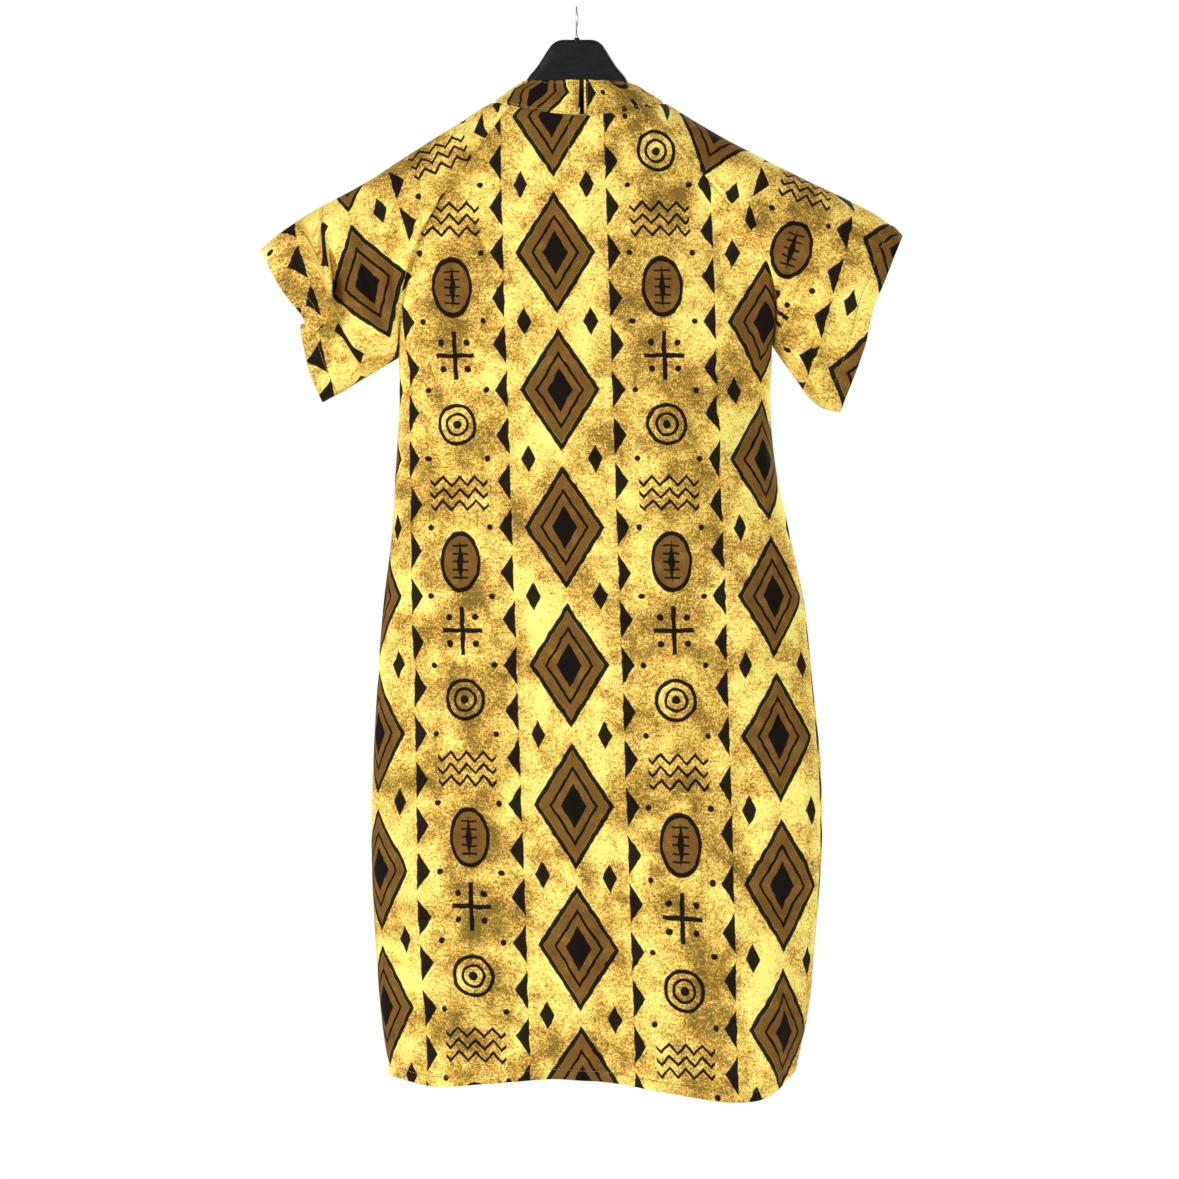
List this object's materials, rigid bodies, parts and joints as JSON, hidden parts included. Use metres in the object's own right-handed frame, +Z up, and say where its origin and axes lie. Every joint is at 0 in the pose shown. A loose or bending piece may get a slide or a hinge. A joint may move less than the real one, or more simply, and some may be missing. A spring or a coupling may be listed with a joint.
{
  "type": "raglan tunic dress on hanger",
  "caption": "Short-sleeved raglan tunic dress in printed cotton, with a split stand collar, hanging open and hollow from the hook of a broad plastic hanger.",
  "frame": {"origin": "inside top of the hanger hook's round, where a rail carries the whole part", "axes": "+Z up; -Y towards the side with the collar's slit; +X to the right in a view from that side"},
  "size_m": [0.642, 0.1685, 1.0926],
  "materials": {
    "printed_cloth": "printed plain-weave cotton in gold, brown and black",
    "black_plastic": "moulded, satin",
    "steel_wire": "plated wire"
  },
  "bodies": {
    "root": {"front": "printed_cloth", "back": "printed_cloth", "sleeve_left": "printed_cloth", "sleeve_right": "printed_cloth", "collar": "printed_cloth", "hanger": "black_plastic", "hook": "steel_wire"}
  },
  "joints": []
}
